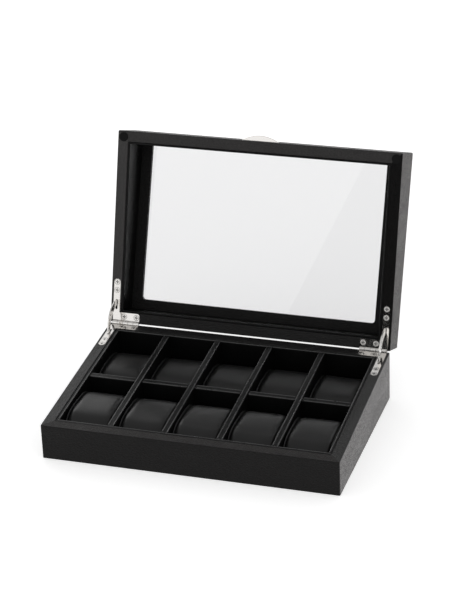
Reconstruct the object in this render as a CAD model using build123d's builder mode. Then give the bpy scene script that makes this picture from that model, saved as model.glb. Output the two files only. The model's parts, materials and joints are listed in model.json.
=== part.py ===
from build123d import *
import os
from math import atan, cos, degrees, radians, sin, tan

# A wooden display case for ten watches, standing open. A tray with five columns and two
# rows of compartments carries a deep, glazed lid on two polished quadrant hinges, whose
# arc-shaped stays run in pockets inside the side walls. The line where lid and tray part
# rises towards the back. Millimetres, +Z up, front towards -Y, origin at the centre of the
# underside. Lid pieces are drawn as if the lid were shut, on planes that on_lid() then
# swings to where the open lid stands.

# Driving dimensions of the case
width = 315.0
depth = 210.0
height = 89.6
front_rise = 38.1       # tray height at the front
back_rise = 54.3        # tray height at the back
lid_opening = 110.8     # degrees from shut to resting on the stays
rim_gap = 0.6           # between the two rims when shut
wall = 11.6
corner_round = 1.4
edge_round = 0.8

# Bottom of the tray
rebate = 4.0            # how far panels are let into the walls
felt_thickness = 0.8
panel_thickness = 3.6
lining_thickness = 0.8

# Padded linings and dividers
liner = 3.8
back_liner = 2.4        # the board along the back of the tray is thinner
lid_liner = 2.4
divider = 7.0
rim_drop = 0.6          # linings and long dividers stand this far below the rim
cross_drop = 1.5        # cross dividers stand lower still
board_round = 1.0
columns = 5
column_pitch = 58.0

# Watch cushions
cushion_width = 48.8
cushion_length = 82.0
cushion_height = 34.0
cushion_top = 39.0      # length of the flat top
cushion_shoulder = 66.0 # length where the shoulders turn down to the ends
shoulder_drop = 7.0
end_height = 15.0
shoulder_round = 12.0
cushion_side_round = 1.6
cushion_gap = 0.3       # clear of the floor, so the cushion is free to lift

# Glazed top
lip = 6.9               # thickness of the frame round the window
window_half_width = 132.2
window_back = 80.3
window_corner = 4.0
glass_rebate = 4.0
glass_thickness = 2.2
seal_thickness = 0.3
glass_sink = 0.3        # glass below the top of the frame
frame_step = 0.2        # frame below the top of the walls

# Quadrant hinges
hinge_offset = 0.5      # axis behind the back face
leaf_thickness = 1.2
side_leg_x = 151.1
side_leg_width = 7.3
side_leg_length = 48.0
back_leg_inner = 124.2
back_leg_outer = 154.7
back_leg_width = 11.0
leaf_corner = 2.6
barrel_radius = 2.5
barrel_clearance = 0.35
pin_radius = 1.1
pin_fit = 0.06
knuckles = 5
knuckle_gap = 0.3
slot_start = 14.0       # slot in the side leg, from the back edge
slot_end = 25.2
slot_width = 2.4

# Stays
stay_radius = 25.0      # outer edge, about the hinge axis
stay_tip_width = 3.2
stay_middle_width = 8.2
stay_thickness = 1.3
stay_lug = 2.6
stay_overlap = 12.5     # degrees of arc left inside each wall when open
pocket_angle = 82.0
pocket_play = 1.0
pocket_width = 2.6

# Screws, from the centre line and from the back edge
side_screws = (35.4, 44.6)
back_screws = (127.6, 141.6)
back_screw_inset = 6.6
head_radius = 3.2
head_height = 1.6
head_proud = 0.2
shank_radius = 1.3
screw_length = 10.0
cross_length = 3.6
cross_width = 0.9
cross_depth = 1.0

# Bumpers and pull
bumper_radius = 5.0
bumper_x = 151.0
bumper_inset = 6.8
bumper_recess = 0.9
bumper_proud = 0.55
pull_chord = 41.2
pull_reach = 6.0
pull_thickness = 2.0
pull_height = 48.4
pull_tongue = 7.0
pull_tongue_width = 34.0

# Worked out from the dimensions above
slope = atan((back_rise - front_rise) / depth)
back = depth / 2
hinge_y = back + hinge_offset
hinge_z = back_rise + hinge_offset * tan(slope) + rim_gap / 2 / cos(slope)
offset_on_rim = hinge_offset / cos(slope)
rim_length = depth / cos(slope)
front_angle = 180 + degrees(slope)      # from the hinge axis forward along the rim
tray_floor = felt_thickness + panel_thickness + lining_thickness
inner_x = width / 2 - wall
inner_y = depth / 2 - wall
frame_inner_z = height - lip
frame_top = height - frame_step
seal_z = frame_top - glass_sink - glass_thickness - seal_thickness
glass_front = inner_y + glass_rebate

parting = Plane(
    origin=(0, hinge_y, hinge_z), x_dir=(1, 0, 0), z_dir=(0, -sin(slope), cos(slope))
)
tray_rim = parting.offset(-rim_gap / 2)
lid_rim = parting.offset(rim_gap / 2)
swing = (
    Location((0, hinge_y, hinge_z))
    * Location((0, 0, 0), (-lid_opening, 0, 0))
    * Location((0, -hinge_y, -hinge_z))
)
sides = {"front": (0, -1), "back": (0, 1), "left": (-1, 0), "right": (1, 0)}
hands = {"left": -1, "right": 1}


def on_lid(plane):
    """A plane of the shut lid, moved to where the open lid stands."""
    return Plane(swing * plane.location)


def on_tray(plane):
    """A plane of the tray, which stays where it is."""
    return plane


def normal_axis(plane):
    """The line through a plane's origin along its normal, for sorting."""
    return Axis(plane.origin, plane.z_dir)


def leaf_face(hand, place):
    """The rim under a hinge leaf, facing out of the wood, and the hand seen from there.

    The hinge axis lies over local y = 0 and the leaf runs towards local -y.
    """
    if place is on_lid:
        face = Plane(origin=lid_rim.origin, x_dir=(-1, 0, 0), z_dir=-lid_rim.z_dir)
        return on_lid(face), -hand
    return tray_rim, hand


# Profiles used inside a sketch


def leaf_outline(hand):
    """The L of a hinge leaf: one leg along the side rim and one along the back rim."""
    with Locations((hand * side_leg_x, -offset_on_rim)):
        Rectangle(side_leg_width, side_leg_length, align=(Align.CENTER, Align.MAX))
    fillet(vertices().group_by(Axis.Y)[0], side_leg_width / 2 - 0.05)
    middle = (back_leg_inner + back_leg_outer) / 2
    with Locations((hand * middle, -offset_on_rim)):
        Rectangle(
            back_leg_outer - back_leg_inner, back_leg_width, align=(Align.CENTER, Align.MAX)
        )
    tip = (hand * back_leg_inner, -offset_on_rim - back_leg_width)
    fillet(vertices().sort_by_distance(tip)[0], leaf_corner)


def arc_band(inner, outer, start, sweep):
    """A stretch of ring about the hinge axis, in a plane across the hinge."""
    with BuildLine() as outline:
        outside = CenterArc((hinge_y, hinge_z), outer, start, sweep)
        inside = CenterArc((hinge_y, hinge_z), inner, start, sweep)
        Line(outside @ 0, inside @ 0)
        Line(outside @ 1, inside @ 1)
    make_face(outline.edges())


def around_hinge(radius, angle):
    """A point at a radius and an angle about the hinge axis, in a plane across the hinge."""
    return (
        hinge_y + radius * cos(radians(angle)),
        hinge_z + radius * sin(radians(angle)),
    )


def screw_spots(hand):
    """Where the four screws of a leaf stand, on the leaf's face."""
    spots = [(hand * side_leg_x, -offset_on_rim - inset) for inset in side_screws]
    spots += [(hand * x, -offset_on_rim - back_screw_inset) for x in back_screws]
    return spots


def knuckle_centres(hand, place):
    """Centres of a leaf's own knuckles: the tray leaf has the outer and middle ones."""
    pitch = (back_leg_outer - back_leg_inner) / knuckles
    first = 1 if place is on_lid else 0
    return [hand * (back_leg_inner + pitch * (i + 0.5)) for i in range(first, knuckles, 2)]


# Cuts made in the wood


def cut_hinge_seats(place):
    """Everything let into the side and back walls for both hinges."""
    for hand in hands.values():
        face, local_hand = leaf_face(hand, place)
        with BuildSketch(face) as leaf_seat:
            leaf_outline(local_hand)
        extrude(leaf_seat.sketch, amount=-leaf_thickness, mode=Mode.SUBTRACT)
        with BuildSketch(face) as shank_holes:
            with Locations(*screw_spots(local_hand)):
                Circle(shank_radius)
        extrude(shank_holes.sketch, amount=-screw_length, mode=Mode.SUBTRACT)
        with BuildSketch(face) as head_holes:
            with Locations(*screw_spots(local_hand)):
                Circle(head_radius)
        extrude(head_holes.sketch, amount=-head_height, mode=Mode.SUBTRACT)
        barrel_middle = hand * (back_leg_inner + back_leg_outer) / 2
        barrel_length = back_leg_outer - back_leg_inner + 2 * knuckle_gap
        barrel_end = place(Plane.YZ.offset(barrel_middle - barrel_length / 2))
        with BuildSketch(barrel_end) as barrel_groove:
            with Locations((hinge_y, hinge_z)):
                Circle(barrel_radius + barrel_clearance)
        extrude(barrel_groove.sketch, amount=barrel_length, mode=Mode.SUBTRACT)
        down = -pocket_angle if place is on_lid else pocket_angle
        deepest = stay_radius - stay_middle_width - pocket_play
        widest = stay_radius + stay_lug + pocket_play
        pocket_face = place(Plane.YZ.offset(hand * side_leg_x - pocket_width / 2))
        with BuildSketch(pocket_face) as pocket:
            arc_band(deepest, widest, front_angle, down)
        extrude(pocket.sketch, amount=pocket_width, mode=Mode.SUBTRACT)


def mitre_to(side, place):
    """Cut a whole ring back to one wall, with a mitre at each end."""
    out = Vector(*sides[side])
    along = out.rotate(Axis.Z, 90)
    for end in (1, -1):
        corner = out + along * end
        origin = (corner.X * width / 2, corner.Y * depth / 2, 0)
        mitre = Plane(origin=origin, x_dir=(0, 0, 1), z_dir=out - along * end)
        split(bisect_by=place(mitre), keep=Keep.TOP)


# Tray


def tray_wall(side):
    """One mitred wall of the tray, its rim sloping down to the front."""
    with BuildPart() as piece:
        with BuildSketch():
            RectangleRounded(width, depth, corner_round)
            Rectangle(2 * inner_x, 2 * inner_y, mode=Mode.SUBTRACT)
        extrude(amount=height)
        split(bisect_by=tray_rim, keep=Keep.BOTTOM)
        rim_face = piece.faces().sort_by(normal_axis(tray_rim))[-1]
        fillet(rim_face.edges(), edge_round)
        underside = piece.faces().sort_by(Axis.Z)[0]
        chamfer(underside.outer_wire().edges(), edge_round / 2)
        with BuildSketch():
            Rectangle(2 * (inner_x + rebate), 2 * (inner_y + rebate))
        extrude(amount=felt_thickness + panel_thickness, mode=Mode.SUBTRACT)
        if side != "front":
            cut_hinge_seats(on_tray)
        mitre_to(side, on_tray)
    return piece


def floor_sheet(level, thickness, reach):
    """A sheet across the bottom of the tray, reaching past the inside of the walls."""
    with BuildPart() as sheet:
        with BuildSketch(Plane.XY.offset(level)):
            Rectangle(2 * (inner_x + reach), 2 * (inner_y + reach))
        extrude(amount=thickness)
    return sheet


def tray_board(x, y, length_x, length_y, drop):
    """An upright padded board on the tray floor, its top parallel to the rim."""
    top = tray_rim.offset(-drop)
    with BuildPart() as board:
        with BuildSketch(Plane.XY.offset(tray_floor)):
            with Locations((x, y)):
                Rectangle(length_x, length_y)
        extrude(amount=height)
        split(bisect_by=top, keep=Keep.BOTTOM)
        top_face = board.faces().sort_by(normal_axis(top))[-1]
        fillet(top_face.edges().sort_by(SortBy.LENGTH)[-2:], board_round)
    return board


def cushion(x, y):
    """A watch cushion: a flat top, sloping shoulders and short upright ends."""
    corner = (x - cushion_width / 2, y, tray_floor + cushion_gap)
    with BuildPart() as pad:
        with BuildSketch(Plane(origin=corner, x_dir=(0, 1, 0), z_dir=(1, 0, 0))):
            with BuildLine():
                Polyline(
                    (-cushion_top / 2, cushion_height),
                    (-cushion_shoulder / 2, cushion_height - shoulder_drop),
                    (-cushion_length / 2, end_height),
                    (-cushion_length / 2, 0),
                    (cushion_length / 2, 0),
                    (cushion_length / 2, end_height),
                    (cushion_shoulder / 2, cushion_height - shoulder_drop),
                    (cushion_top / 2, cushion_height),
                    close=True,
                )
            make_face()
            upper = vertices().filter_by_position(Axis.Y, end_height, cushion_height)
            fillet(upper, shoulder_round)
        extrude(amount=cushion_width)
        ends = pad.faces().filter_by(Axis.X)
        fillet(ends.edges(), cushion_side_round)
    return pad


# Lid


def lid_wall(side):
    """One mitred wall of the lid; the front one also holds the glass and the pull."""
    with BuildPart() as piece:
        with BuildSketch(on_lid(Plane.XY)):
            RectangleRounded(width, depth, corner_round)
            Rectangle(2 * inner_x, 2 * inner_y, mode=Mode.SUBTRACT)
        extrude(amount=height)
        split(bisect_by=on_lid(lid_rim), keep=Keep.TOP)
        rim_axis = normal_axis(on_lid(lid_rim))
        fillet(piece.faces().sort_by(rim_axis)[0].edges(), edge_round)
        top_face = piece.faces().sort_by(normal_axis(on_lid(Plane.XY)))[-1]
        fillet(top_face.outer_wire().edges(), edge_round)
        if side == "front":
            cut_front_seats()
        else:
            cut_hinge_seats(on_lid)
        with BuildSketch(leaf_face(1, on_lid)[0]):
            with Locations(*bumper_spots()):
                Circle(bumper_radius)
        extrude(amount=-bumper_recess, mode=Mode.SUBTRACT)
        mitre_to(side, on_lid)
    return piece


def cut_front_seats():
    """The ledge under the front of the glass and the slot for the pull's tongue."""
    with BuildSketch(on_lid(Plane.XY.offset(seal_z))) as ledge:
        with Locations((0, -inner_y)):
            Rectangle(2 * (window_half_width + glass_rebate), 2 * glass_rebate)
    extrude(ledge.sketch, amount=height - seal_z, mode=Mode.SUBTRACT)
    with BuildSketch(on_lid(Plane.XY.offset(pull_height - pull_thickness / 2))) as slot:
        with Locations((0, -back)):
            Rectangle(pull_tongue_width, 2 * pull_tongue)
    extrude(slot.sketch, amount=pull_thickness, mode=Mode.SUBTRACT)


def lid_frame():
    """The frame round three sides of the window, rebated for the glass."""
    with BuildPart() as frame:
        with BuildSketch(on_lid(Plane.XY.offset(frame_inner_z))):
            Rectangle(2 * inner_x, 2 * inner_y)
            window_outline(Mode.SUBTRACT)
        extrude(amount=lip - frame_step)
        with BuildSketch(on_lid(Plane.XY.offset(seal_z))):
            glass_outline()
        extrude(amount=lip, mode=Mode.SUBTRACT)
    return frame


def window_outline(mode):
    """The window, which runs up to the front wall and has two rounded back corners."""
    with Locations((0, -inner_y)):
        Rectangle(
            2 * window_half_width,
            window_back + inner_y,
            align=(Align.CENTER, Align.MIN),
            mode=mode,
        )
    for hand in hands.values():
        corner = (hand * window_half_width, window_back)
        fillet(vertices().sort_by_distance(corner)[0], window_corner)


def glass_outline():
    """The glass, which laps onto the frame and the front wall all round."""
    with Locations((0, -glass_front)):
        Rectangle(
            2 * (window_half_width + glass_rebate),
            window_back + glass_rebate + glass_front,
            align=(Align.CENTER, Align.MIN),
        )


def glass_pane():
    """The pane, with its edges taken off."""
    with BuildPart() as pane:
        with BuildSketch(on_lid(Plane.XY.offset(seal_z + seal_thickness))):
            glass_outline()
        extrude(amount=glass_thickness)
        chamfer(pane.edges(), glass_sink / 2)
    return pane


def glass_seal():
    """The thin dark gasket that beds the glass."""
    with BuildPart() as seal:
        with BuildSketch(on_lid(Plane.XY.offset(seal_z))):
            glass_outline()
            window_outline(Mode.SUBTRACT)
        extrude(amount=seal_thickness)
    return seal


def lid_board(x, y, length_x, length_y, top):
    """A padded board inside the lid, from just inside the rim up to a given level."""
    edge = on_lid(lid_rim.offset(rim_drop))
    with BuildPart() as board:
        with BuildSketch(on_lid(Plane.XY.offset(top))):
            with Locations((x, y)):
                Rectangle(length_x, length_y)
        extrude(amount=-height)
        split(bisect_by=edge, keep=Keep.TOP)
        edge_face = board.faces().sort_by(normal_axis(edge))[0]
        fillet(edge_face.edges().sort_by(SortBy.LENGTH)[-2:], board_round)
    return board


def bumper_spots():
    """Centres of the two bumpers on the lid's rim, on the face a leaf lies on."""
    reach = -offset_on_rim - rim_length + bumper_inset
    return [(-bumper_x, reach), (bumper_x, reach)]


def bumper(hand):
    """A low round rubber stop, let into a front corner of the lid's rim."""
    face, local_hand = leaf_face(hand, on_lid)
    reach = bumper_spots()[0][1]
    with BuildPart() as stop:
        with BuildSketch(face.offset(-bumper_recess)):
            with Locations((local_hand * bumper_x, reach)):
                Circle(bumper_radius)
        extrude(amount=bumper_recess + bumper_proud)
        crown = stop.faces().sort_by(normal_axis(face))[-1]
        fillet(crown.edges(), bumper_proud * 0.8)
    return stop


def finger_pull():
    """A half-moon lip for the fingertips, held by a tongue in the front wall."""
    with BuildPart() as pull:
        with BuildSketch(on_lid(Plane.XY.offset(pull_height - pull_thickness / 2))):
            with BuildLine():
                ThreePointArc(
                    (-pull_chord / 2, -back), (0, -back - pull_reach), (pull_chord / 2, -back)
                )
                Line((-pull_chord / 2, -back), (pull_chord / 2, -back))
            make_face()
        extrude(amount=pull_thickness)
        rim_edges = pull.edges().filter_by(GeomType.CIRCLE)
        fillet(rim_edges, pull_thickness * 0.3)
        with BuildSketch(on_lid(Plane.XY.offset(pull_height - pull_thickness / 2))):
            with Locations((0, -back)):
                Rectangle(pull_tongue_width, pull_tongue, align=(Align.CENTER, Align.MIN))
        extrude(amount=pull_thickness)
    return pull


# Hinges


def hinge_leaf(hand, place):
    """A leaf: its L-shaped plate, its own knuckles, the stay's slot and the screw holes."""
    face, local_hand = leaf_face(hand, place)
    pitch = (back_leg_outer - back_leg_inner) / knuckles
    middle = local_hand * (back_leg_inner + back_leg_outer) / 2
    reach = barrel_radius + barrel_clearance
    centres = knuckle_centres(local_hand, place)
    with BuildPart(face) as leaf:
        with BuildSketch(face):
            leaf_outline(local_hand)
            with Locations((middle, 0)):
                Rectangle(pitch * knuckles + 1, 2 * reach, mode=Mode.SUBTRACT)
            with Locations(*[(x, 0) for x in centres]):
                Rectangle(pitch - knuckle_gap, reach, align=(Align.CENTER, Align.MAX))
            slot_middle = -offset_on_rim - (slot_start + slot_end) / 2
            with Locations((local_hand * side_leg_x, slot_middle)):
                SlotOverall(slot_end - slot_start, slot_width, rotation=90, mode=Mode.SUBTRACT)
        extrude(amount=-leaf_thickness)
        with Locations(*[(x, 0, rim_gap / 2) for x in centres]):
            Cylinder(barrel_radius, pitch - knuckle_gap, rotation=(0, 90, 0))
        with Locations((middle, 0, rim_gap / 2)):
            Cylinder(
                pin_radius + pin_fit,
                pitch * knuckles + 1,
                rotation=(0, 90, 0),
                mode=Mode.SUBTRACT,
            )
        with Locations(*screw_spots(local_hand)):
            Cylinder(head_radius, 4 * leaf_thickness, mode=Mode.SUBTRACT)
    return leaf


def hinge_screws(hand, place):
    """The four cross-headed screws of one leaf."""
    face, local_hand = leaf_face(hand, place)
    neck = head_height - head_proud
    with BuildPart(face) as screws:
        with Locations(*screw_spots(local_hand)):
            Cylinder(head_radius, head_height, align=(Align.CENTER, Align.CENTER, Align.MAX))
        crowns = screws.edges().group_by(normal_axis(face))[-1]
        fillet(crowns, head_height * 0.35)
        with Locations(*screw_spots(local_hand)):
            Cylinder(shank_radius, screw_length, align=(Align.CENTER, Align.CENTER, Align.MAX))
            Box(
                cross_length,
                cross_width,
                cross_depth,
                align=(Align.CENTER, Align.CENTER, Align.MAX),
                mode=Mode.SUBTRACT,
            )
            Box(
                cross_width,
                cross_length,
                cross_depth,
                align=(Align.CENTER, Align.CENTER, Align.MAX),
                mode=Mode.SUBTRACT,
            )
    return screws


def hinge_pin(hand):
    """The pin through the five knuckles."""
    length = back_leg_outer - back_leg_inner
    middle = hand * (back_leg_inner + back_leg_outer) / 2
    with BuildPart() as pin:
        with BuildSketch(Plane.YZ.offset(middle - length / 2)):
            with Locations((hinge_y, hinge_z)):
                Circle(pin_radius)
        extrude(amount=length)
    return pin


def stay(hand):
    """A crescent-shaped stay with a stop lug at each tip, here at full stretch."""
    start = front_angle + stay_overlap
    sweep = -lid_opening - 2 * stay_overlap
    tip = stay_radius - stay_tip_width
    with BuildPart() as arm:
        with BuildSketch(Plane.YZ.offset(hand * side_leg_x - stay_thickness / 2)):
            with BuildLine():
                outside = CenterArc((hinge_y, hinge_z), stay_radius, start, sweep)
                inside = ThreePointArc(
                    around_hinge(tip, start),
                    around_hinge(stay_radius - stay_middle_width, start + sweep / 2),
                    around_hinge(tip, start + sweep),
                )
                Line(outside @ 0, inside @ 0)
                Line(outside @ 1, inside @ 1)
            make_face()
            for angle in (start, start + sweep):
                with Locations(around_hinge(stay_radius, angle)):
                    Circle(stay_lug)
        extrude(amount=stay_thickness)
    return arm


# Build every piece and write it to its own file

pieces = {}

for side in sides:
    pieces[f"tray_{side}_wall"] = tray_wall(side)
    pieces[f"lid_{side}_wall"] = lid_wall(side)

pieces["underside_felt"] = floor_sheet(0, felt_thickness, rebate)
pieces["bottom_panel"] = floor_sheet(felt_thickness, panel_thickness, rebate)
pieces["floor_lining"] = floor_sheet(felt_thickness + panel_thickness, lining_thickness, 0)

liner_x = inner_x - liner / 2
bay_x = inner_x - liner
bay_front = -inner_y + liner
bay_back = inner_y - back_liner
bay_length = bay_back - bay_front
centre_y = (bay_front + bay_back) / 2
front_y = bay_front - liner / 2
back_y = bay_back + back_liner / 2
pieces["tray_liner_front"] = tray_board(0, front_y, 2 * inner_x, liner, rim_drop)
pieces["tray_liner_back"] = tray_board(0, back_y, 2 * inner_x, back_liner, rim_drop)
pieces["tray_liner_left"] = tray_board(-liner_x, centre_y, liner, bay_length, rim_drop)
pieces["tray_liner_right"] = tray_board(liner_x, centre_y, liner, bay_length, rim_drop)

divider_xs = [(i - columns / 2) * column_pitch for i in range(1, columns)]
for i, x in enumerate(divider_xs, start=1):
    pieces[f"long_divider_{i}"] = tray_board(x, centre_y, divider, bay_length, rim_drop)

bay_edges = [-bay_x]
for x in divider_xs:
    bay_edges += [x - divider / 2, x + divider / 2]
bay_edges.append(bay_x)
bays = list(zip(bay_edges[0::2], bay_edges[1::2]))
cushion_y = (bay_length + divider) / 4
for i, (low, high) in enumerate(bays, start=1):
    middle = (low + high) / 2
    pieces[f"cross_divider_{i}"] = tray_board(
        middle, centre_y, high - low, divider, cross_drop
    )
    pieces[f"cushion_front_{i}"] = cushion(middle, centre_y - cushion_y)
    pieces[f"cushion_back_{i}"] = cushion(middle, centre_y + cushion_y)

pieces["lid_frame"] = lid_frame()
pieces["glass_pane"] = glass_pane()
pieces["glass_seal"] = glass_seal()
lid_side = inner_x - lid_liner / 2
lid_end = inner_y - lid_liner / 2
lid_bay = inner_y - lid_liner
pieces["lid_liner_front"] = lid_board(0, -lid_end, 2 * inner_x, lid_liner, frame_inner_z)
pieces["lid_liner_back"] = lid_board(0, lid_end, 2 * inner_x, lid_liner, frame_inner_z)
pieces["lid_liner_left"] = lid_board(-lid_side, 0, lid_liner, 2 * lid_bay, frame_inner_z)
pieces["lid_liner_right"] = lid_board(lid_side, 0, lid_liner, 2 * lid_bay, frame_inner_z)
pieces["finger_pull"] = finger_pull()

for name, hand in hands.items():
    pieces[f"bumper_{name}"] = bumper(hand)
    pieces[f"tray_hinge_leaf_{name}"] = hinge_leaf(hand, on_tray)
    pieces[f"lid_hinge_leaf_{name}"] = hinge_leaf(hand, on_lid)
    pieces[f"tray_hinge_screws_{name}"] = hinge_screws(hand, on_tray)
    pieces[f"lid_hinge_screws_{name}"] = hinge_screws(hand, on_lid)
    pieces[f"hinge_pin_{name}"] = hinge_pin(hand)
    pieces[f"stay_{name}"] = stay(hand)

os.makedirs("parts", exist_ok=True)
for name, piece in pieces.items():
    piece.part.label = name
    export_step(piece.part, f"parts/{name}.step")
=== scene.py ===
import json
import math
import random

import bmesh
import bpy
from mathutils import Matrix, Vector


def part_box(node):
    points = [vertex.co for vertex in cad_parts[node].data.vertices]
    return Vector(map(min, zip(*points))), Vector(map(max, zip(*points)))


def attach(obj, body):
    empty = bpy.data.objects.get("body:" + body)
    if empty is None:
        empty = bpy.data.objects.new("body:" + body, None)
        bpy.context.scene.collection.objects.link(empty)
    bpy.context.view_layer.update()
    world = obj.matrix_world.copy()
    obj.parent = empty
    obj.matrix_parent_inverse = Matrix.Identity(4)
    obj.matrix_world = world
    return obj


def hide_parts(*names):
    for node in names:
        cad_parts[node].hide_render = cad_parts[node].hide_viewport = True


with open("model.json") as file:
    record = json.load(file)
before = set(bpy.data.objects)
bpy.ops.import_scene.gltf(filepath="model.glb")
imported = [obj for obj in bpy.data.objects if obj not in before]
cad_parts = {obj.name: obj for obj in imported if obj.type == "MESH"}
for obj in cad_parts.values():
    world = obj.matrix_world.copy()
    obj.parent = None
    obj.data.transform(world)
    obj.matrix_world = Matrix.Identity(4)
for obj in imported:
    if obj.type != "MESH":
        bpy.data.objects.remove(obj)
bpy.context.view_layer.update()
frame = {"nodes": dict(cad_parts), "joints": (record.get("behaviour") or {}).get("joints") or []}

# The watch box at rest stands open. Metres, and the CAD part's own frame.

HINGE = next(joint for joint in frame["joints"] if joint["name"] == "lid_hinge")
LID_OPEN = math.radians(HINGE["range_deg"][1])   # how far the lid turns between shut and open
BODY_HALF = 0.0230      # half the width of a cushion's padded block
LEAN_TOP = 0.034        # height on a cushion where its lean and sway are full
PLATE = 0.0008          # thickness of a cushion's end plates
PLATE_X = 0.0239        # where the end plates stand, from the middle of the cushion
SIM_START, SIM_END = 1, 20    # frames of the cushions' cloth simulation
RIM_RISE = 16.2 / 210   # rise of the tray's rim towards the back, over the tray's depth
BEAD = 0.0007           # radius of the welts along the padded boards


# Camera, light and floor


def make_camera():
    """The camera at the photograph's viewing angle: above, in front and to the right."""
    azimuth = math.radians(18.365)
    elevation = math.radians(25.644)
    roll = math.radians(-2.251)
    data = bpy.data.cameras.new("camera")
    data.lens = 129.19
    camera = bpy.data.objects.new("camera", data)
    bpy.context.collection.objects.link(camera)
    turn = Matrix.Rotation(azimuth, 4, "Z") @ Matrix.Rotation(math.pi / 2 - elevation, 4, "X")
    place = Matrix.Translation((0.6322, -1.8707, 1.0953))
    camera.matrix_world = place @ turn @ Matrix.Rotation(roll, 4, "Z")
    bpy.context.scene.camera = camera


def add_softbox(name, place, aim, size, power):
    """A white rectangular soft light at place, facing aim."""
    data = bpy.data.lights.new(name, "AREA")
    data.shape = "RECTANGLE"
    data.size, data.size_y = size
    data.energy = power
    light = bpy.data.objects.new(name, data)
    bpy.context.collection.objects.link(light)
    light.location = place
    light.rotation_euler = (Vector(aim) - Vector(place)).to_track_quat("-Z", "Y").to_euler()


def make_world():
    """A plain pale room, dimmer straight overhead than round the sides."""
    world = bpy.data.worlds.new("room")
    bpy.context.scene.world = world
    world.use_nodes = True
    background = world.node_tree.nodes["Background"]
    background.inputs["Color"].default_value = (1, 1, 1, 1)
    nodes, links = world.node_tree.nodes, world.node_tree.links
    direction = nodes.new("ShaderNodeTexCoord")
    split = nodes.new("ShaderNodeSeparateXYZ")
    level = nodes.new("ShaderNodeMapRange")
    level.interpolation_type = "SMOOTHSTEP"
    level.inputs["From Min"].default_value = 0.4
    level.inputs["From Max"].default_value = 0.95
    level.inputs["To Min"].default_value = 0.9
    level.inputs["To Max"].default_value = 0.5
    links.new(direction.outputs["Generated"], split.inputs[0])
    links.new(split.outputs["Z"], level.inputs["Value"])
    links.new(level.outputs["Result"], background.inputs["Strength"])


def add_flag():
    """A dark card in front, seen only in reflections, that shades the right of the open lid."""
    ahead = -1.0
    corners = (-0.37, 0.08), (-0.19, 0.64), (0.14, 0.64), (0.14, 0.08)
    mesh = bpy.data.meshes.new("flag")
    mesh.from_pydata([(x, ahead, z) for x, z in corners], [], [(0, 1, 2, 3)])
    flag = bpy.data.objects.new("flag", mesh)
    bpy.context.collection.objects.link(flag)
    paint = bpy.data.materials.new("flag_black")
    paint.use_nodes = True
    shader = paint.node_tree.nodes["Principled BSDF"]
    shader.inputs["Base Color"].default_value = (0.004, 0.004, 0.004, 1)
    shader.inputs["Specular IOR Level"].default_value = 0.0
    mesh.materials.append(paint)
    flag.visible_camera = False
    flag.visible_diffuse = False
    flag.visible_transmission = False
    flag.visible_shadow = False


def make_floor():
    """A wide pale floor, which glows a little so that it stays white."""
    reach = 12
    mesh = bpy.data.meshes.new("floor")
    corners = [(-reach, -reach, 0), (reach, -reach, 0), (reach, reach, 0), (-reach, reach, 0)]
    mesh.from_pydata(corners, [], [(0, 1, 2, 3)])
    floor = bpy.data.objects.new("floor", mesh)
    bpy.context.collection.objects.link(floor)
    paint = bpy.data.materials.new("floor_white")
    paint.use_nodes = True
    shader = paint.node_tree.nodes["Principled BSDF"]
    shader.inputs["Base Color"].default_value = (0.9, 0.9, 0.9, 1)
    shader.inputs["Roughness"].default_value = 0.9
    shader.inputs["Specular IOR Level"].default_value = 0.1
    shader.inputs["Emission Color"].default_value = (1, 1, 1, 1)
    shader.inputs["Emission Strength"].default_value = 0.5
    floor.data.materials.append(paint)


# Materials. Each shader's own constants stay on its sockets; textures feed colour, roughness and bump.


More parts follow.
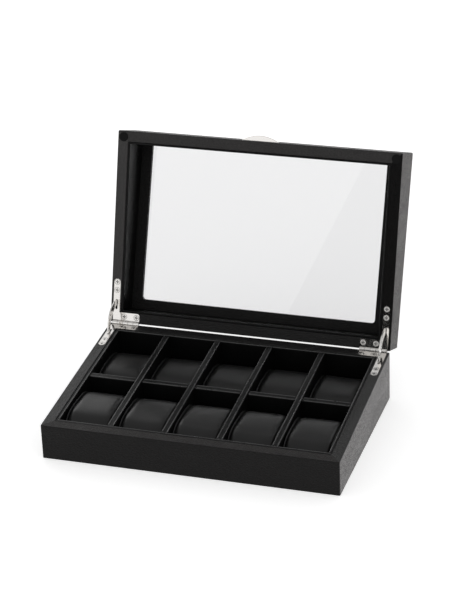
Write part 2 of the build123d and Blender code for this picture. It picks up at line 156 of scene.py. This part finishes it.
class Finish:
    """A node material being put together around one Principled shader."""

    def __init__(self, name, color, roughness, **constants):
        self.material = bpy.data.materials.new(name)
        self.material.use_nodes = True
        self.nodes = self.material.node_tree.nodes
        self.links = self.material.node_tree.links
        self.shader = self.nodes["Principled BSDF"]
        self.shader.inputs["Base Color"].default_value = (*color, 1)
        self.shader.inputs["Roughness"].default_value = roughness
        for socket, value in constants.items():
            self.shader.inputs[socket.replace("_", " ")].default_value = value

    def coordinates(self, scale=(1, 1, 1), turn=(0, 0, 0)):
        """Object coordinates, turned and then stretched."""
        source = self.nodes.new("ShaderNodeTexCoord")
        rotate = self.nodes.new("ShaderNodeMapping")
        rotate.inputs["Rotation"].default_value = turn
        stretch = self.nodes.new("ShaderNodeMapping")
        stretch.inputs["Scale"].default_value = scale
        self.links.new(source.outputs["Object"], rotate.inputs["Vector"])
        self.links.new(rotate.outputs["Vector"], stretch.inputs["Vector"])
        return stretch.outputs["Vector"]

    def noise(self, vector, scale, detail, roughness=0.55):
        """Cloudy values, mostly between 0.2 and 0.8."""
        node = self.nodes.new("ShaderNodeTexNoise")
        node.inputs["Scale"].default_value = scale
        node.inputs["Detail"].default_value = detail
        node.inputs["Roughness"].default_value = roughness
        self.links.new(vector, node.inputs["Vector"])
        return node.outputs["Fac"]

    def cells(self, vector, scale):
        """The distance to the edge of the nearest of many small cells."""
        node = self.nodes.new("ShaderNodeTexVoronoi")
        node.feature = "DISTANCE_TO_EDGE"
        node.inputs["Scale"].default_value = scale
        self.links.new(vector, node.inputs["Vector"])
        return node.outputs["Distance"]

    def spread(self, value, low, high, to_low=0.0, to_high=1.0):
        """The range low to high of a value, stretched to to_low to to_high and cut off there."""
        node = self.nodes.new("ShaderNodeMapRange")
        node.inputs["From Min"].default_value = low
        node.inputs["From Max"].default_value = high
        node.inputs["To Min"].default_value = to_low
        node.inputs["To Max"].default_value = to_high
        self.links.new(value, node.inputs["Value"])
        return node.outputs["Result"]

    def blend(self, value, first, second):
        """A colour between first and second, by value. Each of them is a colour or a socket."""
        node = self.nodes.new("ShaderNodeMix")
        node.data_type = "RGBA"
        amount, start, end = node.inputs[0], node.inputs[6], node.inputs[7]
        self.links.new(value, amount)
        for socket, tint in ((start, first), (end, second)):
            if isinstance(tint, bpy.types.NodeSocket):
                self.links.new(tint, socket)
            else:
                socket.default_value = (*tint, 1)
        return node.outputs[2]

    def color(self, value, first, second):
        """Lets value choose the base colour between first and second."""
        self.links.new(self.blend(value, first, second), self.shader.inputs["Base Color"])

    def roughness(self, value, low, high):
        """Lets the noise in value choose the roughness between low and high."""
        self.links.new(self.spread(value, 0.2, 0.8, low, high), self.shader.inputs["Roughness"])

    def bump(self, value, height, strength):
        """Adds relief. A second call lies on top of the first."""
        node = self.nodes.new("ShaderNodeBump")
        node.inputs["Strength"].default_value = strength
        node.inputs["Distance"].default_value = height
        self.links.new(value, node.inputs["Height"])
        socket = self.shader.inputs["Normal"]
        if socket.is_linked:
            self.links.new(socket.links[0].from_socket, node.inputs["Normal"])
        self.links.new(node.outputs["Normal"], socket)


def stained_wood(name, turn, gloss, tone=1.0, lit_axis=None, lit_tone=1.0, contrast=0.25):
    """Black open-pored wood. turn lays the grain, which runs along X, along the board.

    tone, where it is not 1, lightens or darkens the whole board as painted light or painted shade for
    how much light falls on it. Faces towards the axis given have their own tone instead, painted light
    for strong light and reflection on them. contrast is how strongly the grain's figure shows.
    """
    wood = Finish(name, (0.006, 0.006, 0.0065), 0.42, Specular_IOR_Level=gloss)
    fine = wood.noise(wood.coordinates((1, 6, 6), turn), scale=260, detail=6, roughness=0.65)
    broad = wood.noise(wood.coordinates((1, 5, 5), turn), scale=22, detail=3, roughness=0.5)
    pores = wood.noise(wood.coordinates((1, 2.5, 2.5), turn), scale=420, detail=3, roughness=0.6)
    middle = Vector((0.0072, 0.0068, 0.0067))
    swing = middle * 0.85 * contrast
    dark, light = middle - swing, middle + swing
    figure = wood.spread(pores, 0.38, 0.62)
    # Painted light: faces towards the given axis take a lighter copy of the board's colour.
    if lit_axis:
        facing = wood.nodes.new("ShaderNodeNewGeometry")
        split = wood.nodes.new("ShaderNodeSeparateXYZ")
        wood.links.new(facing.outputs["True Normal"], split.inputs[0])
        towards = wood.spread(split.outputs[lit_axis], 0.6, 0.95)
        plain = wood.blend(figure, dark * tone, light * tone)
        pale = wood.blend(figure, dark * lit_tone, light * lit_tone)
        wood.color(towards, plain, pale)
    else:
        wood.color(figure, dark * tone, light * tone)
    wood.roughness(broad, 0.34, 0.48)
    wood.bump(pores, height=0.0012, strength=0.9)
    wood.bump(fine, height=0.0003, strength=0.6)
    return wood.material


def leatherette(name, tone, roughness, gloss):
    """Smooth black imitation leather with a fine pebbled grain."""
    skin = Finish(name, (tone, tone, tone * 1.05), roughness, Specular_IOR_Level=gloss)
    where = skin.coordinates()
    pebbles = skin.cells(where, scale=1600)
    cloud = skin.noise(where, scale=60, detail=4)
    skin.color(cloud, (tone * 0.8,) * 3, (tone * 1.25,) * 3)
    skin.roughness(cloud, roughness - 0.05, roughness + 0.06)
    skin.bump(skin.spread(pebbles, 0.0, 0.25), height=0.00004, strength=0.35)
    return skin.material


def nickel(name, roughness, bright, reach):
    """Nickel plate or steel with faint hairlines, and painted shade in crevices up to reach wide."""
    tint = Vector((1.0, 0.975, 0.945)) * bright
    metal = Finish(name, tint, roughness, Metallic=1.0)
    hairs = metal.noise(metal.coordinates((1, 9, 1)), scale=900, detail=3)
    # Painted shade: crevices, screw slots and gaps between parts go nearly black by ambient occlusion.
    crevice = metal.nodes.new("ShaderNodeAmbientOcclusion")
    crevice.samples = 12
    crevice.inputs["Distance"].default_value = reach
    openness = metal.spread(crevice.outputs["AO"], 0.45, 0.9)
    painted_shade = (0.02, 0.02, 0.02)
    metal.color(openness, painted_shade, metal.blend(hairs, tint * 0.94, tint * 1.05))
    metal.roughness(hairs, roughness * 0.8, roughness * 1.3)
    metal.bump(hairs, height=0.00001, strength=0.2)
    return metal.material


def clear_glass():
    """Glass that takes off some of the light, and is not quite evenly smooth."""
    pane = Finish("clear_glass", (0.755, 0.755, 0.76), 0.0, Transmission_Weight=1.0, IOR=1.5)
    film = pane.noise(pane.coordinates(), scale=8, detail=2)
    pane.roughness(film, 0.0, 0.004)
    return pane.material


def black_rubber():
    """Matte rubber with fine specks."""
    tone = 0.006
    soft = Finish("black_rubber", (tone, tone, tone), 0.7, Specular_IOR_Level=0.08)
    specks = soft.noise(soft.coordinates(), scale=1500, detail=3)
    soft.color(specks, (tone * 0.8,) * 3, (tone * 1.2,) * 3)
    soft.roughness(specks, 0.55, 0.7)
    soft.bump(specks, height=0.00003, strength=0.3)
    return soft.material


def cloth_lining(name, tone):
    """Flocked or felted cloth."""
    pile = Finish(name, (tone, tone, tone), 0.95, Specular_IOR_Level=0.1, Sheen_Weight=0.2)
    fibres = pile.noise(pile.coordinates(), scale=2200, detail=4)
    pile.color(fibres, (tone * 0.6,) * 3, (tone * 1.5,) * 3)
    pile.bump(fibres, height=0.0002, strength=0.6)
    return pile.material


def plain_board():
    """Unfinished brown board with its fibres along X."""
    board = Finish("plain_board", (0.3, 0.22, 0.14), 0.7)
    fibres = board.noise(board.coordinates((1, 8, 1)), scale=120, detail=5)
    board.color(fibres, (0.25, 0.17, 0.1), (0.36, 0.27, 0.17))
    board.bump(fibres, height=0.0001, strength=0.4)
    return board.material


def paint_nodes():
    """Gives every CAD node its material, and returns those of the cushions and the welts."""
    quarter = math.pi / 2
    along_x = (0, 0, 0)
    along_y = (0, 0, -quarter)
    along_lid = (LID_OPEN, 0, 0)
    up_lid = (0, -LID_OPEN, -quarter)
    # Painted light and shade: tone and the axis tones make the lid's front and left boards lighter, its
    # right board and frame darker, and the tray front's top and the right-facing faces lighter, for the
    # light and reflection on them.
    boards = {
        "tray_front_wall": dict(turn=along_x, gloss=0.11, lit_axis="Z", lit_tone=4.0),
        "tray_back_wall": dict(turn=along_x, gloss=0.3),
        "tray_left_wall": dict(turn=along_y, gloss=0.45),
        "tray_right_wall": dict(turn=along_y, gloss=0.38, lit_axis="X", lit_tone=12.0, contrast=1.0),
        "lid_front_wall": dict(turn=along_lid, gloss=0.2, tone=3.5),
        "lid_back_wall": dict(turn=along_lid, gloss=0.25),
        "lid_left_wall": dict(turn=up_lid, gloss=0.3, tone=4.0),
        "lid_right_wall": dict(
            turn=up_lid, gloss=0.06, tone=0.6, lit_axis="X", lit_tone=11.0, contrast=1.0
        ),
        "lid_frame": dict(turn=along_lid, gloss=0.2, tone=0.7),
    }
    finishes = {}
    for name, look in boards.items():
        finishes[name] = stained_wood("wood_" + name.removesuffix("_wall"), **look)
    lining = leatherette("padded_lining", tone=0.003, roughness=0.34, gloss=0.14)
    cover = leatherette("cushion_cover", tone=0.009, roughness=0.34, gloss=0.34)
    edge = leatherette("cushion_edge", tone=0.012, roughness=0.32, gloss=0.8)
    welt = leatherette("lining_welt", tone=0.014, roughness=0.28, gloss=0.9)
    plate = nickel("polished_nickel", roughness=0.1, bright=0.9, reach=0.0018)
    bar = nickel("stay_nickel", roughness=0.24, bright=0.9, reach=0.0004)
    pull = nickel("pull_nickel", roughness=0.06, bright=0.95, reach=0.0002)
    screw = nickel("screw_nickel", roughness=0.3, bright=0.85, reach=0.0014)
    wire = nickel("pin_steel", roughness=0.25, bright=0.6, reach=0.0010)
    black = black_rubber()
    for name in frame["nodes"]:
        if "liner" in name or "divider" in name:
            finishes[name] = lining
        elif name.startswith("cushion"):
            finishes[name] = cover
        elif "leaf" in name:
            finishes[name] = plate
        elif name.startswith("stay"):
            finishes[name] = bar
        elif "screws" in name:
            finishes[name] = screw
        elif "pin" in name:
            finishes[name] = wire
        elif name.startswith("bumper") or name == "glass_seal":
            finishes[name] = black
    finishes["finger_pull"] = pull
    finishes["glass_pane"] = clear_glass()
    finishes["floor_lining"] = cloth_lining("velvet", tone=0.008)
    finishes["underside_felt"] = cloth_lining("felt", tone=0.012)
    finishes["bottom_panel"] = plain_board()
    for name, node in frame["nodes"].items():
        for spot in node.material_slots:
            spot.material = finishes[name]
    return cover, edge, welt


# Closed meshes and objects


def lofted(name, rings):
    """A closed mesh through rings of points, all with as many points."""
    shell = bmesh.new()
    loops = [[shell.verts.new(point) for point in ring] for ring in rings]
    count = len(loops[0])
    for near, far in zip(loops, loops[1:]):
        for i in range(count):
            j = (i + 1) % count
            shell.faces.new((near[i], near[j], far[j], far[i]))
    shell.faces.new(loops[0])
    shell.faces.new(list(reversed(loops[-1])))
    bmesh.ops.recalc_face_normals(shell, faces=shell.faces)
    mesh = bpy.data.meshes.new(name)
    shell.to_mesh(mesh)
    shell.free()
    return mesh


def add_object(name, mesh, material):
    """A smooth-shaded object of one material."""
    thing = bpy.data.objects.new(name, mesh)
    bpy.context.collection.objects.link(thing)
    mesh.materials.clear()
    mesh.materials.append(material)
    mesh.shade_smooth()
    return thing


def baked(thing):
    """The mesh of an object with its modifiers applied."""
    graph = bpy.context.evaluated_depsgraph_get()
    return bpy.data.meshes.new_from_object(thing.evaluated_get(graph), depsgraph=graph)


# Watch cushions


def side_profile(grow):
    """The outline of a cushion seen from its side, as (y, z) from the middle of its base.

    Each corner is (y, z, reach). It is rounded off from reach before it to reach after it, or
    from less where the edge between two corners is short.
    """
    steps = 6
    near_half = 0.45
    half, shoulder, top = 0.0410 + grow, 0.0335 + grow, 0.0195
    low, mid, high = 0.0145, 0.0268 + grow, 0.0338 + grow
    corners = [
        (half, -grow, 0.0015), (half, low, 0.009), (shoulder, mid, 0.012), (top, high, 0.016),
        (-top, high, 0.016), (-shoulder, mid, 0.012), (-half, low, 0.009), (-half, -grow, 0.0015),
    ]
    points = []
    for i, (y, z, reach) in enumerate(corners):
        here = Vector((y, z))
        before = Vector(corners[i - 1][:2])
        after = Vector(corners[(i + 1) % len(corners)][:2])
        back, ahead = before - here, after - here
        start = here + back.normalized() * min(reach, back.length * near_half)
        end = here + ahead.normalized() * min(reach, ahead.length * near_half)
        for k in range(steps + 1):
            t = k / steps
            points.append(start * (1 - t) ** 2 + here * 2 * t * (1 - t) + end * t**2)
    return points


def profile_solid(name, points, stations):
    """A closed mesh lofted along X. stations gives (x, inset), inset shrinking the outline."""
    middle = Vector((0, 0.015))     # the point that the outline shrinks towards
    rings = []
    for x, inset in stations:
        ring = []
        for y, z in points:
            out = Vector((y, z)) - middle
            spot = middle + out * (1 - inset / out.length)
            ring.append((x, spot.x, spot.y))
        rings.append(ring)
    return lofted(name, rings)


def inflate(thing, cap):
    """Blows up a closed mesh as cloth, lets no point move further than cap, and keeps the result."""
    scene = bpy.context.scene
    start = [v.co.copy() for v in thing.data.vertices]
    cloth = thing.modifiers.new("cloth", "CLOTH")
    cloth.settings.quality = 5
    cloth.settings.mass = 0.3
    cloth.settings.use_pressure = True
    cloth.settings.uniform_pressure_force = 4.0
    cloth.settings.effector_weights.gravity = 0
    cloth.settings.tension_stiffness = 15
    cloth.settings.bending_stiffness = 0.5
    cloth.collision_settings.use_collision = False
    cloth.point_cache.frame_start = SIM_START
    cloth.point_cache.frame_end = SIM_END
    for step in range(SIM_START, SIM_END + 1):
        scene.frame_set(step)
        bpy.context.view_layer.update()
    puffed = baked(thing)
    thing.modifiers.remove(cloth)
    scene.frame_set(SIM_START)
    for before, after in zip(start, puffed.vertices):
        move = after.co - before
        if move.length > cap:
            after.co = before + move.normalized() * cap
    thing.data = puffed


def rounded_ends(half, rounding, between=()):
    """Stations from -half to half, whose ends shrink as rounding says, as (distance in, inset)."""
    stations = [(-half + along, inset) for along, inset in rounding]
    stations += [(x, 0.0) for x in between]
    stations += [(half - along, inset) for along, inset in reversed(rounding)]
    return stations


def cushion_body(material):
    """The padded block of one cushion, simulated once and shared out below."""
    rounding = [(0.0, 0.0034), (0.0006, 0.0018), (0.0018, 0.0006), (0.0036, 0.0)]
    between = [x * BODY_HALF / 10 for x in range(-8, 9)]
    stations = rounded_ends(BODY_HALF, rounding, between)
    mesh = profile_solid("cushion_block", side_profile(-0.0008), stations)
    block = add_object("cushion_block", mesh, material)
    remesh = block.modifiers.new("remesh", "REMESH")
    remesh.mode = "VOXEL"
    remesh.voxel_size = 0.0022
    block.data = baked(block)
    block.modifiers.clear()
    inflate(block, cap=0.0009)
    smooth = block.modifiers.new("smooth", "SMOOTH")
    smooth.factor = 0.5
    smooth.iterations = 6
    finer = block.modifiers.new("finer", "SUBSURF")
    finer.levels = 1
    finer.render_levels = 1
    block.data = baked(block)
    block.modifiers.clear()
    result = block.data
    bpy.data.objects.remove(block)
    return result


def make_cushions(cover, edge):
    """Ten cushions, each a padded body between two thin covered end plates."""
    body_mesh = cushion_body(cover)
    plate_stations = rounded_ends(PLATE / 2, [(0.0, 0.0006), (0.0002, 0.0002), (0.0004, 0.0)])
    plate_mesh = profile_solid("cushion_plate", side_profile(-0.0010), plate_stations)
    dice = random.Random(7)
    shifts = {"cushion_front_1": 0.0006, "cushion_back_4": 0.0006}
    off_floor = 0.0002
    sway_height = 0.00035
    ripple_x, ripple_y = 90, 70     # radians per metre
    for row in ("front", "back"):
        for i in range(1, 6):
            node = f"cushion_{row}_{i}"
            low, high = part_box(node)
            base = Vector(((low.x + high.x) / 2, (low.y + high.y) / 2, low.z + off_floor))
            base.y += shifts.get(node, dice.uniform(-0.0006, 0.0004))
            mesh = body_mesh.copy()
            lean = dice.uniform(-0.006, 0.006)
            phase = dice.uniform(0, 6.28)
            for v in mesh.vertices:
                rise = max(v.co.z, 0) / LEAN_TOP
                sway = math.sin(v.co.y * ripple_y + phase) * math.sin(v.co.x * ripple_x + phase * 2)
                v.co.z += rise * (sway_height * sway + lean * v.co.x)
            body = add_object(f"{node}_body", mesh, cover)
            body.location = base
            bpy.context.view_layer.update()
            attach(body, node)
            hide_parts(node)
            for side in (-1, 1):
                which = "left" if side < 0 else "right"
                plate = add_object(f"{node}_plate_{which}", plate_mesh.copy(), edge)
                plate.location = base + Vector((side * PLATE_X, 0, 0))
                bpy.context.view_layer.update()
                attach(plate, node)


# Welts sewn along the top edges of the padded boards


def add_welt(name, start, end, material):
    """A fine round welt from start to end, waisted a little where its stitches pull."""
    sides, pitch = 10, 0.0045
    tip, waist = 0.45, 0.93
    run = end - start
    stations = max(int(run.length / pitch), 2) * 2
    across = run.cross(Vector((0, 0, 1))).normalized()
    up = across.cross(run).normalized()
    rings = []
    for i in range(stations + 1):
        t = i / stations
        radius = BEAD * (tip if i in (0, stations) else 1.0 if i % 2 else waist)
        ring = []
        for k in range(sides):
            angle = 2 * math.pi * k / sides
            offset = across * math.cos(angle) + up * math.sin(angle)
            ring.append(start + run * t + offset * radius)
        rings.append(ring)
    thing = add_object(name, lofted(name, rings), material)
    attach(thing, "tray")


def make_welts(material):
    """Two welts on every divider, and one on the inner edge of each lining."""
    sunk = 0.0003
    inset = 0.0009
    end_gap = 0.0004
    against_wall = {
        "tray_liner_front": "a", "tray_liner_left": "a", "tray_liner_back": "b", "tray_liner_right": "b",
    }
    for name in frame["nodes"]:
        if "divider" not in name and not name.startswith("tray_liner"):
            continue
        low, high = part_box(name)
        if high.y - low.y > high.x - low.x:
            front, back = low.y + end_gap, high.y - end_gap
            sides = {"a": low.x + inset, "b": high.x - inset}
            runs = {mark: ((x, front), (x, back)) for mark, x in sides.items()}
        else:
            left, right = low.x + end_gap, high.x - end_gap
            sides = {"a": low.y + inset, "b": high.y - inset}
            runs = {mark: ((left, y), (right, y)) for mark, y in sides.items()}
        runs.pop(against_wall.get(name), None)
        for mark, ends in runs.items():
            start, end = (Vector((x, y, high.z - sunk - (high.y - y) * RIM_RISE)) for x, y in ends)
            add_welt(f"{name}_welt_{mark}", start, end, material)


make_camera()
make_world()
make_floor()
add_flag()
bpy.context.scene.view_settings.view_transform = "Standard"
add_softbox("back_left", place=(-2.2, 2.2, 1.7), aim=(0.0, 0.0, 0.05), size=(1.8, 1.2), power=9)
cover_skin, edge_skin, welt_skin = paint_nodes()
make_cushions(cover_skin, edge_skin)
make_welts(welt_skin)
